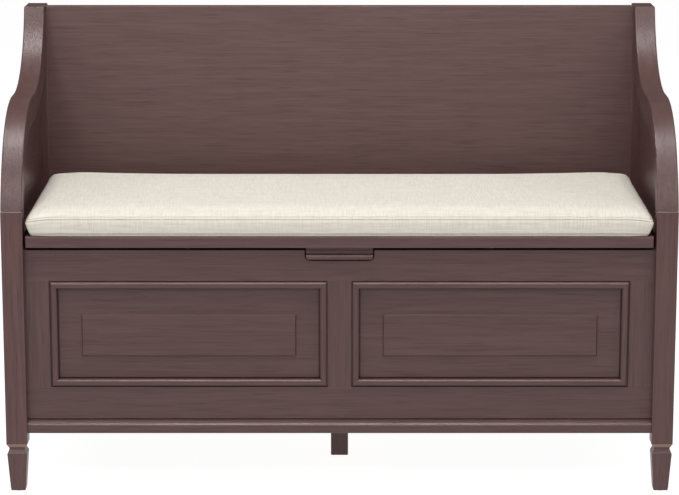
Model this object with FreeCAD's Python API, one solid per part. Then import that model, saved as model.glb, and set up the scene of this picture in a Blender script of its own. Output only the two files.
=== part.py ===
"""Storage bench with a hinged, cushioned seat lid.

Row frame in millimetres: X runs along the bench, +Y points to its back, +Z is up,
and the origin lies on the floor under the middle of the bench.
Left and right are as a person facing the bench sees them, so left is -X.
"""
import FreeCAD, Part
import math
import os
from FreeCAD import Vector

# ---------------------------------------------------------------- overall
width = 1110.0
depth = 452.0
height = 767.0
back_rise = 332.0
cut_past = 5.0

# ---------------------------------------------------------------- posts and feet
post_width = 35.5
front_post_depth = 32.0
rear_post_depth = 36.0
foot_height = 83.0
foot_end_height = 5.2
foot_end_inset = 6.1
foot_taper_inset = 5.2
foot_collar_drop = 19.0
foot_collar_height = 2.0
foot_collar_inset = 1.3
foot_neck_drop = 10.5
foot_neck_height = 3.2
foot_neck_inset = 4.4
arris = 1.6
joint_groove = 1.0
glide_thickness = 1.2
glide_radius = 7.5
glide_nail_radius = 1.1
glide_nail_length = 14.0
glide_edge = 0.4

# ---------------------------------------------------------------- arms
arm_upper_rise = 127.0
arm_front_rise = 163.0
arm_thickness = 49.0
arm_inner_reach = 133.0
arm_setback = 2.0
arm_lower_radius = 260.0
arm_lower_angle = 25.0
arm_shoulder_angle = 50.0
arm_flat_length = 31.0
arm_top_flat = 21.0
arm_heel = 109.0
arm_arris = 2.2

# ---------------------------------------------------------------- side frames
side_rail_thickness = 25.5
seat_side_rail_height = 47.0
bottom_side_rail_height = 40.0
side_panel_thickness = 12.0
side_panel_recess = 12.7
lower_side_panel_thickness = 9.0
tongue = 6.0

# ---------------------------------------------------------------- front frame
frame_setback = 14.0
frame_thickness = 18.0
base_height = 100.5
bottom_rail_height = 77.5
top_rail_height = 52.5
end_stile_width = 40.0
centre_stile_width = 39.0
panel_recess = 7.0
panel_thickness = 9.0
field_margin_x = 52.0
field_margin_z = 54.5
field_drop = 3.5
field_rise = 3.0
field_bevel = 2.0
bead_width = 13.0
bead_height = 11.0
bead_quirk = 1.4
bead_lip = 2.5
bead_fall = 1.0
shadow_groove_width = 1.8
shadow_groove_depth = 3.0
bead_crown_share = 0.42
frame_arris = 0.8
notch_width = 114.0
notch_drop = 18.0
notch_corner = 9.0
moulding_height = 21.5
moulding_projection = 9.0
moulding_fascia = 12.5
moulding_lip = 1.5
moulding_cove_share = 0.66
moulding_chamfer = 1.0

# ---------------------------------------------------------------- back and bottom
back_panel_thickness = 19.0
back_panel_setback = 3.0
back_panel_drop = 2.0
back_panel_depth_below_seat = 42.0
lower_back_thickness = 9.0
back_rail_height = 40.0
back_rail_thickness = 20.0
floor_thickness = 9.0
floor_top = 127.0
floor_clearance = 1.0
cleat_width = 20.0
cleat_height = 18.0
cleat_end_gap = 20.0
centre_rail_width = 30.0
centre_rail_height = 30.0
centre_leg_width = 30.0
centre_leg_chamfer = 1.5

# ---------------------------------------------------------------- lid
lid_thickness = 19.0
lid_front_setback = 4.0
lid_side_gap = 4.0
lid_gap = 5.0
lid_arris = 1.5
rear_seat_rail_depth = 44.5
rear_seat_rail_height = 30.0
pull_clearance = 2.0
pull_corner = 7.0
pull_body_thickness = 10.0
pull_nose_reach = 8.0
pull_nose_radius = 4.5
pull_nose_lean = 50.0
pull_nose_turn = 20.0
pull_face_height = 5.0
pull_hollow = 1.3
pull_hollow_drop = 1.2
bumper_radius = 5.0
bumper_slack = 0.1

# ---------------------------------------------------------------- hinges
hinge_spacing = 370.0
hinge_count = 3
leaf_length = 60.0
leaf_thickness = 1.6
leaf_depth = 18.0
hinge_gap = 1.0
knuckle_radius = 4.5
knuckle_count = 5
knuckle_gap = 0.3
barrel_lift = 0.5
pin_radius = 2.0
pin_clearance = 0.05
pin_head_radius = 3.2
pin_head_length = 1.2

# ---------------------------------------------------------------- fasteners
hinge_screw_radius = 1.75
hinge_screw_length = 18.0
hinge_screw_head_radius = 3.2
hinge_screw_pitch = 20.0
cleat_screw_radius = 2.0
cleat_screw_length = 34.0
cleat_screw_head_radius = 4.0
cleat_screw_count = 6
cleat_screw_margin = 60.0
leg_screw_length = 65.0
leg_screw_spacing = 16.0
pull_screw_length = 32.0
screw_point_radius = 0.25
bolt_radius = 3.0
bolt_length = 72.0
bolt_head_radius = 6.5
bolt_head_height = 3.4
bolt_socket_radius = 2.3
bolt_socket_depth = 2.6
bottom_bolt_share = 0.6
back_bolt_drop = 60.0
barrel_nut_radius = 5.0
barrel_nut_length = 14.0
barrel_nut_inset = 10.0
dowel_radius = 4.0
dowel_length = 30.0
side_dowel_edge = 9.5
seat_dowel_bite = 9.0
seat_dowel_front = 14.0
seat_dowel_rear = 12.0
arm_dowel_drops = (30.0, 80.0)

# ---------------------------------------------------------------- cushion and its strips
cushion_height = 41.0
cushion_side_gap = 1.0
cushion_front_inset = 0.5
cushion_hinge_gap = 2.5
cushion_corner = 9.0
strip_thickness = 1.0
strip_width = 25.0
strip_length = 160.0
strip_inset = 60.0

# ---------------------------------------------------------------- planes worked out from the sizes
arm_crest_height = height - arm_upper_rise
front_post_height = arm_crest_height - arm_front_rise
seat_height = height - back_rise
half_width = width / 2
inner_x = half_width - post_width
front_y = -depth / 2
back_y = depth / 2
front_post_back = front_y + front_post_depth
rear_post_front = back_y - rear_post_depth
frame_front = front_y + frame_setback
frame_back = frame_front + frame_thickness
panel_face = frame_front + panel_recess
back_panel_front = rear_post_front + back_panel_setback
back_panel_back = back_panel_front + back_panel_thickness
lid_bottom = seat_height - lid_thickness
frame_top = lid_bottom - lid_gap
opening_top = frame_top - top_rail_height
opening_bottom = base_height + bottom_rail_height
opening_outer = inner_x - end_stile_width
opening_inner = centre_stile_width / 2
floor_bottom = floor_top - floor_thickness
hinge_y = back_panel_front - rear_seat_rail_depth - hinge_gap / 2
hinge_z = seat_height + knuckle_radius + barrel_lift
lid_front = front_y + lid_front_setback
lid_back = hinge_y - hinge_gap / 2
lid_half = inner_x - lid_side_gap


# ---------------------------------------------------------------- shape helpers
def block(x0, x1, y0, y1, z0, z1):
    """Rectangular piece between two corners."""
    return Part.makeBox(x1 - x0, y1 - y0, z1 - z0, Vector(x0, y0, z0))


def rod(start, direction, radius, length):
    """Round bar from a point along a direction."""
    return Part.makeCylinder(radius, length, start, direction)


def prism(points, direction):
    """Flat polygon pushed along a direction."""
    face = Part.Face(Part.makePolygon(points + [points[0]]))
    return face.extrude(direction)


def mirrored(shape):
    """The same piece for the other side of the bench."""
    return shape.mirror(Vector(0, 0, 0), Vector(1, 0, 0))


def eased(shape, radius, chosen):
    """Round over the edges for which chosen(edge) is true."""
    edges = [edge for edge in shape.Edges if chosen(edge)]
    return shape.makeFillet(radius, edges)


def runs_along(edge, axis):
    """True for a straight edge parallel to X, Y or Z (axis 0, 1 or 2)."""
    box = edge.BoundBox
    spans = [box.XLength, box.YLength, box.ZLength]
    return spans[axis] > 1.0 and sum(spans) - spans[axis] < 0.001


def cut_for(piece, others):
    """Cut the seats, bores and grooves that other pieces need in this one."""
    for other in others:
        piece = piece.cut(other)
    return piece


def group(solids):
    """Separate solids of like pieces kept together."""
    return Part.makeCompound(solids)


parts = {}


def pair(name, shape):
    """Store a right-hand piece and its mirror image."""
    parts["right_" + name] = shape
    parts["left_" + name] = mirrored(shape)


# ---------------------------------------------------------------- posts with cut feet
def foot_sections(bottom):
    """Heights and insets of a foot: small end chamfer, taper, collar, neck, full section."""
    collar = foot_height - foot_collar_drop
    neck = foot_height - foot_neck_drop
    return [
        (bottom, foot_end_inset),
        (bottom + foot_end_height, foot_taper_inset),
        (collar, foot_collar_inset),
        (collar + foot_collar_height, foot_collar_inset),
        (neck, foot_neck_inset),
        (neck + foot_neck_height, foot_neck_inset),
        (foot_height, 0.0),
    ]


def rectangle_wire(x0, x1, y0, y1, z, inset):
    """Rectangle at a height, drawn in by an inset on all four sides."""
    corners = [
        Vector(x0 + inset, y0 + inset, z),
        Vector(x1 - inset, y0 + inset, z),
        Vector(x1 - inset, y1 - inset, z),
        Vector(x0 + inset, y1 - inset, z),
    ]
    return Part.makePolygon(corners + [corners[0]])


def stacked(x0, x1, y0, y1, sections):
    """Solid with straight sides between rectangles stacked up Z."""
    layers = []
    for (z0, inset0), (z1, inset1) in zip(sections, sections[1:]):
        lower = rectangle_wire(x0, x1, y0, y1, z0, inset0)
        upper = rectangle_wire(x0, x1, y0, y1, z1, inset1)
        layers.append(Part.makeLoft([lower, upper], True, True))
    solid = layers[0]
    for layer in layers[1:]:
        solid = solid.fuse(layer)
    return solid.removeSplitter()


def post(x0, x1, y0, y1, top, top_chamfer):
    """Square post on its cut foot, with the shaft's upright edges eased."""
    sections = foot_sections(glide_thickness) + [(top - top_chamfer, 0.0), (top, top_chamfer)]
    blank = stacked(x0, x1, y0, y1, sections)
    return eased(blank, arris, lambda edge: runs_along(edge, 2) and edge.Length > foot_height)


front_post = post(inner_x, half_width, front_y, front_post_back, front_post_height, joint_groove)
rear_post = post(inner_x, half_width, rear_post_front, back_y, height, arris)
centre_leg = stacked(
    -centre_leg_width / 2, centre_leg_width / 2, -centre_leg_width / 2, centre_leg_width / 2,
    [(glide_thickness, centre_leg_chamfer), (glide_thickness + centre_leg_chamfer, 0.0),
     (floor_bottom - centre_rail_height, 0.0)])
centre_leg = eased(centre_leg, arris, lambda edge: runs_along(edge, 2))


# ---------------------------------------------------------------- arms
def convex_point(centre, radius, degrees):
    """Point on a crest arc, turned back from its top towards the front."""
    angle = math.radians(degrees)
    return Vector(0, centre[0] - radius * math.sin(angle), centre[1] + radius * math.cos(angle))


def concave_point(centre, radius, degrees):
    """Point on a hollow arc, turned on from its bottom towards the back."""
    angle = math.radians(degrees)
    return Vector(0, centre[0] + radius * math.sin(angle), centre[1] - radius * math.cos(angle))


def arc_edge(place, centre, radius, start, end):
    """Arc between two turns about a centre in the YZ plane."""
    points = [place(centre, radius, turn) for turn in (start, (start + end) / 2, end)]
    return Part.Arc(*points).toShape()


def line_edge(start, end):
    return Part.LineSegment(start, end).toShape()


def arm_outer_edges():
    """Front and top outline: lower arc, shoulder, short flat, hollow rise to the top."""
    slope_end = arm_shoulder_angle + arm_lower_angle
    lower_cosines = math.cos(math.radians(arm_shoulder_angle)) - math.cos(math.radians(slope_end))
    lower_sines = math.sin(math.radians(slope_end)) - math.sin(math.radians(arm_shoulder_angle))
    shoulder_rise = arm_crest_height - front_post_height - arm_lower_radius * lower_cosines
    shoulder_radius = shoulder_rise / (1 - math.cos(math.radians(arm_shoulder_angle)))
    toe = front_y + arm_setback
    crest_y = toe + arm_lower_radius * lower_sines
    crest_y += shoulder_radius * math.sin(math.radians(arm_shoulder_angle))
    shoulder_centre = (crest_y, arm_crest_height - shoulder_radius)
    meeting = convex_point(shoulder_centre, shoulder_radius, arm_shoulder_angle)
    turn = math.radians(arm_shoulder_angle)
    lower_centre = (meeting.y + arm_lower_radius * math.sin(turn),
                    meeting.z - arm_lower_radius * math.cos(turn))
    flat_end = crest_y + arm_flat_length
    run = rear_post_front - arm_top_flat - flat_end
    rise = height - arm_crest_height
    rise_turn = 2 * math.atan2(rise, run)
    rise_radius = run / math.sin(rise_turn)
    rise_centre = (flat_end, arm_crest_height + rise_radius)
    edges = [
        arc_edge(convex_point, lower_centre, arm_lower_radius, slope_end, arm_shoulder_angle),
        arc_edge(convex_point, shoulder_centre, shoulder_radius, arm_shoulder_angle, 0.0),
        line_edge(Vector(0, crest_y, arm_crest_height), Vector(0, flat_end, arm_crest_height)),
        arc_edge(concave_point, rise_centre, rise_radius, 0.0, math.degrees(rise_turn)),
    ]
    return edges, Vector(0, toe, front_post_height), Vector(0, rear_post_front - arm_top_flat, height)


def arm_under_edges(lift, overlap):
    """Underside outline from the front post to the rear post, raised by a lift.

    A quarter-like arc rises off the front post to its crown and a shallow hollow arc
    carries on up to the heel on the rear post; overlap lengthens both ends.
    """
    start = Vector(0, front_post_back - overlap, front_post_height + lift)
    crown = Vector(0, front_post_back + arm_inner_reach, arm_crest_height - arm_thickness + lift)
    heel = Vector(0, rear_post_front + overlap, height - arm_heel + lift)
    rise_turn = 2 * math.atan2(crown.z - start.z, crown.y - start.y)
    rise_radius = (crown.y - start.y) / math.sin(rise_turn)
    sweep_turn = 2 * math.atan2(heel.z - crown.z, heel.y - crown.y)
    sweep_radius = (heel.y - crown.y) / math.sin(sweep_turn)
    edges = [
        arc_edge(convex_point, (crown.y, crown.z - rise_radius), rise_radius,
                 math.degrees(rise_turn), 0.0),
        arc_edge(concave_point, (crown.y, crown.z + sweep_radius), sweep_radius,
                 0.0, math.degrees(sweep_turn)),
    ]
    return edges, start, heel


def solid_between(edges, x0, x1):
    """Flat outline in the YZ plane given its thickness along X."""
    wire = Part.Wire(Part.__sortEdges__(edges))
    wire.translate(Vector(x0, 0, 0))
    return Part.Face(wire).extrude(Vector(x1 - x0, 0, 0))


def arm_blank():
    outer, toe, brow = arm_outer_edges()
    under, start, heel = arm_under_edges(0.0, 0.0)
    top_back = Vector(0, rear_post_front, height)
    outline = outer + [line_edge(brow, top_back), line_edge(top_back, heel)]
    outline += under + [line_edge(start, toe)]
    blank = solid_between(outline, inner_x, half_width)

    def eased_edge(edge):
        box = edge.BoundBox
        on_a_side = box.XLength < 0.001
        on_the_post = box.ZMax < front_post_height + 0.001
        on_the_rear_post = box.YMin > rear_post_front - 0.001
        brow_edge = runs_along(edge, 0) and abs(box.ZMax - height) < 0.001
        brow_edge = brow_edge and box.YMax < rear_post_front - 0.001
        return (on_a_side and not on_the_post and not on_the_rear_post) or brow_edge

    blank = eased(blank, arm_arris, eased_edge)
    past_joint = front_post_back + front_post_depth
    bevel_box = block(inner_x - cut_past, half_width + cut_past, front_y - cut_past, past_joint,
                      front_post_height - cut_past, front_post_height + joint_groove)
    kept = stacked(inner_x, half_width, front_y, past_joint,
                   [(front_post_height - 2 * cut_past, joint_groove),
                    (front_post_height, joint_groove),
                    (front_post_height + joint_groove, 0.0)])
    return blank.cut(bevel_box.cut(kept))


arm = arm_blank()

# ---------------------------------------------------------------- side frames: rails and panels
rail_outer = inner_x + side_rail_thickness
seat_side_rail = block(inner_x, rail_outer, front_post_back, rear_post_front,
                       seat_height - seat_side_rail_height, seat_height)
seat_side_rail = eased(seat_side_rail, frame_arris, lambda edge: runs_along(edge, 1))
bottom_side_rail = block(inner_x, rail_outer, front_post_back, rear_post_front,
                         base_height, base_height + bottom_side_rail_height)
bottom_side_rail = eased(bottom_side_rail, frame_arris, lambda edge: runs_along(edge, 1))

panel_x = inner_x + side_panel_recess


def upper_side_panel_blank():
    """Panel under the arm, let into the posts, the seat rail and the arm by its tongue."""
    under, start, heel = arm_under_edges(tongue, tongue)
    low_front = Vector(0, front_post_back - tongue, seat_height - tongue)
    low_back = Vector(0, rear_post_front + tongue, seat_height - tongue)
    outline = under + [line_edge(heel, low_back), line_edge(low_back, low_front),
                       line_edge(low_front, start)]
    return solid_between(outline, panel_x, panel_x + side_panel_thickness)


upper_side_panel = upper_side_panel_blank()
lower_side_panel = block(panel_x, panel_x + lower_side_panel_thickness,
                         front_post_back - tongue, rear_post_front + tongue,
                         base_height + bottom_side_rail_height - tongue,
                         seat_height - seat_side_rail_height + tongue)

# ---------------------------------------------------------------- front frame
front_top_rail = block(-inner_x, inner_x, frame_front, frame_back, opening_top, frame_top)
front_bottom_rail = block(-inner_x, inner_x, frame_front, frame_back, base_height, opening_bottom)
end_stile = block(opening_outer, inner_x, frame_front, frame_back, opening_bottom, opening_top)
centre_stile = block(-opening_inner, opening_inner, frame_front, frame_back,
                     opening_bottom, opening_top)


def rounded_tab(half_length, top, bottom, corner, y0, y1):
    """Slab in the XZ plane whose two lower corners are rounded."""
    points = [
        Vector(-half_length, y0, top), Vector(-half_length, y0, bottom),
        Vector(half_length, y0, bottom), Vector(half_length, y0, top),
    ]
    slab = prism(points, Vector(0, y1 - y0, 0))

    def lower_corner(edge):
        return runs_along(edge, 1) and abs(edge.BoundBox.ZMax - bottom) < 0.001

    return eased(slab, corner, lower_corner)


notch = rounded_tab(notch_width / 2, frame_top + cut_past, frame_top - notch_drop, notch_corner,
                    frame_front - cut_past, frame_back + cut_past)
front_top_rail = eased(front_top_rail, frame_arris,
                       lambda edge: runs_along(edge, 0) and edge.BoundBox.ZMin > frame_top - 0.001)
front_top_rail = front_top_rail.cut(notch)


def on_notch_face(edge):
    """Edges of the notch on the front face of the rail."""
    box = edge.BoundBox
    on_face = box.YLength < 0.001 and abs(box.YMin - frame_front) < 0.001
    in_notch = box.XMin > -notch_width / 2 - 1 and box.XMax < notch_width / 2 + 1
    return on_face and in_notch and box.ZMin > opening_top + 1


front_top_rail = eased(front_top_rail, frame_arris, on_notch_face)


def raised_panel():
    """Right-hand panel: flat ground, tongue in the frame all round and a bevelled field.

    A narrow shadow groove runs round the ground, close inside the bead.
    """
    ground = block(opening_inner - tongue, opening_outer + tongue,
                   panel_face, panel_face + panel_thickness,
                   opening_bottom - tongue, opening_top + tongue)
    x0 = opening_inner + field_margin_x
    x1 = opening_outer - field_margin_x
    z0 = opening_bottom + field_margin_z - field_drop
    z1 = opening_top - field_margin_z - field_drop

    def field_wire(y, inset):
        corners = [Vector(x0 + inset, y, z0 + inset), Vector(x1 - inset, y, z0 + inset),
                   Vector(x1 - inset, y, z1 - inset), Vector(x0 + inset, y, z1 - inset)]
        return Part.makePolygon(corners + [corners[0]])

    field = Part.makeLoft([field_wire(panel_face, 0.0),
                           field_wire(panel_face - field_rise, field_bevel)], True, True)
    def inside_bead(margin):
        """Block through the groove's depth, a margin in from the opening on all sides."""
        return block(opening_inner + margin, opening_outer - margin,
                     panel_face, panel_face + shadow_groove_depth,
                     opening_bottom + margin, opening_top - margin)

    groove = inside_bead(bead_width).cut(inside_bead(bead_width + shadow_groove_width))
    return ground.fuse(field).removeSplitter().cut(groove)


front_panel = raised_panel()


def bead_strip(start, end, inward):
    """Mitred moulding strip along one side of a panel opening.

    start and end are the outer corners; inward points to the middle of the opening.
    """
    along = (end - start).normalize()
    forward = Vector(0, -1, 0)

    def at(across, rise):
        return start + inward * across + forward * rise

    shoulder = panel_recess - bead_lip
    crown = Part.Arc(at(bead_quirk, shoulder), at(bead_width * bead_crown_share, bead_height),
                     at(bead_width, shoulder - bead_fall)).toShape()
    outline = [
        line_edge(at(0, 0), at(0, shoulder)),
        line_edge(at(0, shoulder), at(bead_quirk, shoulder)),
        crown,
        line_edge(at(bead_width, shoulder - bead_fall), at(bead_width, 0)),
        line_edge(at(bead_width, 0), at(0, 0)),
    ]
    length = (end - start).Length
    strip = Part.Face(Part.Wire(outline)).extrude(along * length)
    low = forward * -cut_past
    corners = [start + low, end + low,
               end + low + inward * bead_width - along * bead_width,
               start + low + inward * bead_width + along * bead_width]
    return strip.common(prism(corners, forward * (bead_height + 2 * cut_past)))


bead_corners = {
    "outer_top": Vector(opening_outer, panel_face, opening_top),
    "inner_top": Vector(opening_inner, panel_face, opening_top),
    "outer_bottom": Vector(opening_outer, panel_face, opening_bottom),
    "inner_bottom": Vector(opening_inner, panel_face, opening_bottom),
}
bead_sides = {
    "top_bead": ("inner_top", "outer_top", Vector(0, 0, -1)),
    "bottom_bead": ("inner_bottom", "outer_bottom", Vector(0, 0, 1)),
    "inner_bead": ("inner_bottom", "inner_top", Vector(1, 0, 0)),
    "outer_bead": ("outer_bottom", "outer_top", Vector(-1, 0, 0)),
}


def base_moulding_blank():
    """Strip between the posts: a cove that falls forward onto a plain fascia."""
    face = frame_front
    nose = face - moulding_projection
    lip = face - moulding_lip
    top = base_height + moulding_height
    ledge = base_height + moulding_fascia
    hollow = Vector(0, nose + (lip - nose) * moulding_cove_share,
                    top - (top - ledge) * moulding_cove_share)
    outline = [
        line_edge(Vector(0, face, base_height), Vector(0, face, top)),
        line_edge(Vector(0, face, top), Vector(0, lip, top)),
        Part.Arc(Vector(0, lip, top), hollow, Vector(0, nose, ledge)).toShape(),
        line_edge(Vector(0, nose, ledge), Vector(0, nose, base_height + moulding_chamfer)),
        line_edge(Vector(0, nose, base_height + moulding_chamfer),
                  Vector(0, nose + moulding_chamfer, base_height)),
        line_edge(Vector(0, nose + moulding_chamfer, base_height), Vector(0, face, base_height)),
    ]
    return solid_between(outline, -inner_x, inner_x)


base_moulding = base_moulding_blank()
moulding_top = base_height + moulding_height
moulding_groove = block(-inner_x - cut_past, inner_x + cut_past,
                        frame_front - cut_past, frame_front + shadow_groove_depth,
                        moulding_top, moulding_top + shadow_groove_width)
front_bottom_rail = front_bottom_rail.cut(moulding_groove)

# ---------------------------------------------------------------- back, bottom and rear seat rail
back_panel_bottom = seat_height - back_panel_depth_below_seat
back_panel = block(-inner_x - tongue, inner_x + tongue, back_panel_front, back_panel_back,
                   back_panel_bottom, height - back_panel_drop)
back_panel = eased(back_panel, frame_arris,
                   lambda edge: runs_along(edge, 0) and edge.BoundBox.ZMin > height - back_panel_drop - 0.001)
lower_back_front = back_panel_front + (back_panel_thickness - lower_back_thickness) / 2
lower_back_panel = block(-inner_x - tongue, inner_x + tongue,
                         lower_back_front, lower_back_front + lower_back_thickness,
                         base_height + back_rail_height - tongue, back_panel_bottom + tongue)
back_bottom_rail = block(-inner_x, inner_x, back_panel_front, back_panel_front + back_rail_thickness,
                         base_height, base_height + back_rail_height)
rear_seat_rail = block(-inner_x, inner_x, hinge_y + hinge_gap / 2, back_panel_front,
                       seat_height - rear_seat_rail_height, seat_height)
storage_floor = block(-inner_x + floor_clearance, inner_x - floor_clearance,
                      frame_back + floor_clearance, back_panel_front - floor_clearance,
                      floor_bottom, floor_top)
cleat_half = inner_x - cleat_end_gap
cleat_bottom = floor_bottom - cleat_height
front_cleat = block(-cleat_half, cleat_half, frame_back, frame_back + cleat_width,
                    cleat_bottom, floor_bottom)
rear_cleat = block(-cleat_half, cleat_half, back_panel_front - cleat_width, back_panel_front,
                   cleat_bottom, floor_bottom)
centre_floor_rail = block(-centre_rail_width / 2, centre_rail_width / 2,
                          frame_back + cleat_width, back_panel_front - cleat_width,
                          floor_bottom - centre_rail_height, floor_bottom)

# ---------------------------------------------------------------- lid and finger pull
lid_board = block(-lid_half, lid_half, lid_front, lid_back, lid_bottom, seat_height)
lid_board = eased(lid_board, lid_arris,
                  lambda edge: (runs_along(edge, 0) and edge.BoundBox.YMax < lid_front + 0.001)
                  or (runs_along(edge, 2) and edge.BoundBox.YMax < lid_front + 0.001))


def finger_pull_blank():
    """Moulded lip under the lid's front edge: hollow face, rounded nose that fingers lift.

    It hangs in the notch of the top rail with a clearance all round.
    """
    half_length = notch_width / 2 - pull_clearance
    bottom = frame_top - notch_drop + pull_clearance
    face = frame_front
    back = face + pull_body_thickness
    nose_y = face - pull_nose_reach + pull_nose_radius
    nose_z = bottom + pull_nose_radius
    lean = math.radians(pull_nose_lean)
    turn = math.radians(pull_nose_turn)
    nose_top = Vector(0, nose_y + pull_nose_radius * math.cos(lean),
                      nose_z + pull_nose_radius * math.sin(lean))
    hollow_top = Vector(0, face, lid_bottom - pull_face_height)
    hollow_middle = Vector(0, face - pull_hollow,
                           (hollow_top.z + nose_top.z) / 2 - pull_hollow_drop)
    outline = [
        line_edge(Vector(0, back, lid_bottom), Vector(0, face, lid_bottom)),
        line_edge(Vector(0, face, lid_bottom), hollow_top),
        Part.Arc(hollow_top, hollow_middle, nose_top).toShape(),
        Part.Arc(nose_top, Vector(0, nose_y - pull_nose_radius * math.cos(turn),
                                  nose_z + pull_nose_radius * math.sin(turn)),
                 Vector(0, nose_y, bottom)).toShape(),
        line_edge(Vector(0, nose_y, bottom), Vector(0, back, bottom)),
        line_edge(Vector(0, back, bottom), Vector(0, back, lid_bottom)),
    ]
    bar = solid_between(outline, -half_length, half_length)
    tab = rounded_tab(half_length, lid_bottom + cut_past, bottom, pull_corner,
                      front_y - cut_past, back + cut_past)
    return bar.common(tab)


finger_pull = finger_pull_blank()
bumper_x = (opening_inner + opening_outer) / 2
lid_bumpers = [rod(Vector(x, (frame_front + frame_back) / 2, frame_top), Vector(0, 0, 1),
                   bumper_radius, lid_gap - bumper_slack)
               for x in (-bumper_x, bumper_x)]

# ---------------------------------------------------------------- hinges
hinge_places = [(index - (hinge_count - 1) / 2) * hinge_spacing for index in range(hinge_count)]
knuckle_length = (leaf_length - (knuckle_count - 1) * knuckle_gap) / knuckle_count


def knuckle_span(index):
    """Start of a knuckle along the leaf, measured from the leaf's end."""
    return index * (knuckle_length + knuckle_gap)


def hinge_leaf(centre_x, side, bore, knuckles):
    """Leaf on the front (side -1) or back (side +1) of the joint with its knuckles."""
    start = centre_x - leaf_length / 2
    near = hinge_y + side * hinge_gap / 2
    far = near + side * leaf_thickness
    y0 = min(near, far)
    y1 = max(near, far)
    leaf = block(start, start + leaf_length, y0, y1, seat_height - leaf_depth,
                 hinge_z - knuckle_radius - knuckle_gap)
    for index in knuckles:
        x = start + knuckle_span(index)
        web = block(x, x + knuckle_length, y0, y1, seat_height - leaf_depth, hinge_z)
        barrel = rod(Vector(x, hinge_y, hinge_z), Vector(1, 0, 0), knuckle_radius, knuckle_length)
        leaf = leaf.fuse(web).fuse(barrel)
    hole = rod(Vector(start - cut_past, hinge_y, hinge_z), Vector(1, 0, 0), bore,
               leaf_length + 2 * cut_past)
    return leaf.cut(hole).removeSplitter()


def hinge_pin(centre_x):
    """Pin through the knuckles with a small head at each end."""
    start = centre_x - leaf_length / 2
    axis = Vector(1, 0, 0)
    shank = rod(Vector(start, hinge_y, hinge_z), axis, pin_radius, leaf_length)
    head = rod(Vector(start - pin_head_length, hinge_y, hinge_z), axis,
               pin_head_radius, pin_head_length)
    far_head = rod(Vector(start + leaf_length, hinge_y, hinge_z), axis,
                   pin_head_radius, pin_head_length)
    return shank.fuse(head).fuse(far_head)


def leaf_mortise(centre_x, side):
    """Recess in the wood for one leaf, open at the seat's top."""
    near = hinge_y + side * hinge_gap / 2
    far = near + side * leaf_thickness
    return block(centre_x - leaf_length / 2, centre_x + leaf_length / 2,
                 min(near, far), max(near, far), seat_height - leaf_depth, seat_height + cut_past)


def countersunk_screw(start, direction, radius, length, head_radius):
    """Flat-head wood screw whose head lies flush at the start point, with a point at its end."""
    head_height = head_radius - radius
    tip = radius * 2.5
    head = Part.makeCone(head_radius, radius, head_height, start, direction)
    shank = rod(start + direction * head_height, direction, radius, length - head_height - tip)
    point = Part.makeCone(radius, screw_point_radius, tip, start + direction * (length - tip),
                          direction)
    return head.fuse(shank).fuse(point)


def screw_with_slot(start, direction, radius, length, head_radius):
    """The screw with a small cross recess in its head."""
    screw = countersunk_screw(start, direction, radius, length, head_radius)
    arm_length = head_radius * 1.1
    slot_width = head_radius * 0.28
    slot_depth = head_radius * 0.35
    if abs(direction.y) > 0.5:
        bars = [(arm_length, slot_width), (slot_width, arm_length)]
        for x, z in bars:
            y0 = min(start.y, start.y + direction.y * slot_depth)
            screw = screw.cut(block(start.x - x / 2, start.x + x / 2, y0, y0 + slot_depth,
                                    start.z - z / 2, start.z + z / 2))
    else:
        bars = [(arm_length, slot_width), (slot_width, arm_length)]
        for x, y in bars:
            z0 = min(start.z, start.z + direction.z * slot_depth)
            screw = screw.cut(block(start.x - x / 2, start.x + x / 2,
                                    start.y - y / 2, start.y + y / 2, z0, z0 + slot_depth))
    return screw


lid_knuckles = range(1, knuckle_count, 2)
rail_knuckles = range(0, knuckle_count, 2)
lid_leaves = [hinge_leaf(x, -1, pin_radius + pin_clearance, lid_knuckles) for x in hinge_places]
rail_leaves = [hinge_leaf(x, 1, pin_radius, rail_knuckles) for x in hinge_places]
hinge_pins = [hinge_pin(x) for x in hinge_places]
screw_rise = seat_height - leaf_depth / 2
screw_places = [x + step * hinge_screw_pitch for x in hinge_places for step in (-1, 0, 1)]


def leaf_screws(side):
    """Three screws through each leaf of one side, and the plain bodies that bore their holes."""
    y = hinge_y + side * hinge_gap / 2
    direction = Vector(0, side, 0)
    sizes = (hinge_screw_radius, hinge_screw_length, hinge_screw_head_radius)
    screws = [screw_with_slot(Vector(x, y, screw_rise), direction, *sizes) for x in screw_places]
    bodies = [countersunk_screw(Vector(x, y, screw_rise), direction, *sizes) for x in screw_places]
    return screws, bodies


lid_screws, lid_screw_bodies = leaf_screws(-1)
rail_screws, rail_screw_bodies = leaf_screws(1)

# ---------------------------------------------------------------- screws of cleats, floor rail, leg and pull
down = Vector(0, 0, -1)
up = Vector(0, 0, 1)


def spaced(half_span, count):
    """Evenly spaced places from -half_span to half_span."""
    return [-half_span + 2 * half_span * index / (count - 1) for index in range(count)]


cleat_screw_z = floor_bottom - cleat_height / 2
cleat_sizes = (cleat_screw_radius, cleat_screw_length, cleat_screw_head_radius)
cleat_places = [(x, frame_back + cleat_width, Vector(0, -1, 0))
                for x in spaced(cleat_half - cleat_screw_margin, cleat_screw_count)]
cleat_places += [(x, back_panel_front - cleat_width, Vector(0, 1, 0))
                 for x in spaced(cleat_half - cleat_screw_margin, cleat_screw_count)]
cleat_screws = [screw_with_slot(Vector(x, y, cleat_screw_z), way, *cleat_sizes)
                for x, y, way in cleat_places]
cleat_screw_bodies = [countersunk_screw(Vector(x, y, cleat_screw_z), way, *cleat_sizes)
                      for x, y, way in cleat_places]
leg_screw_places = [Vector(0, y, floor_top) for y in (-leg_screw_spacing / 2, leg_screw_spacing / 2)]
leg_sizes = (cleat_screw_radius, leg_screw_length, cleat_screw_head_radius)
leg_screws = [screw_with_slot(place, down, *leg_sizes) for place in leg_screw_places]
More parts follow.
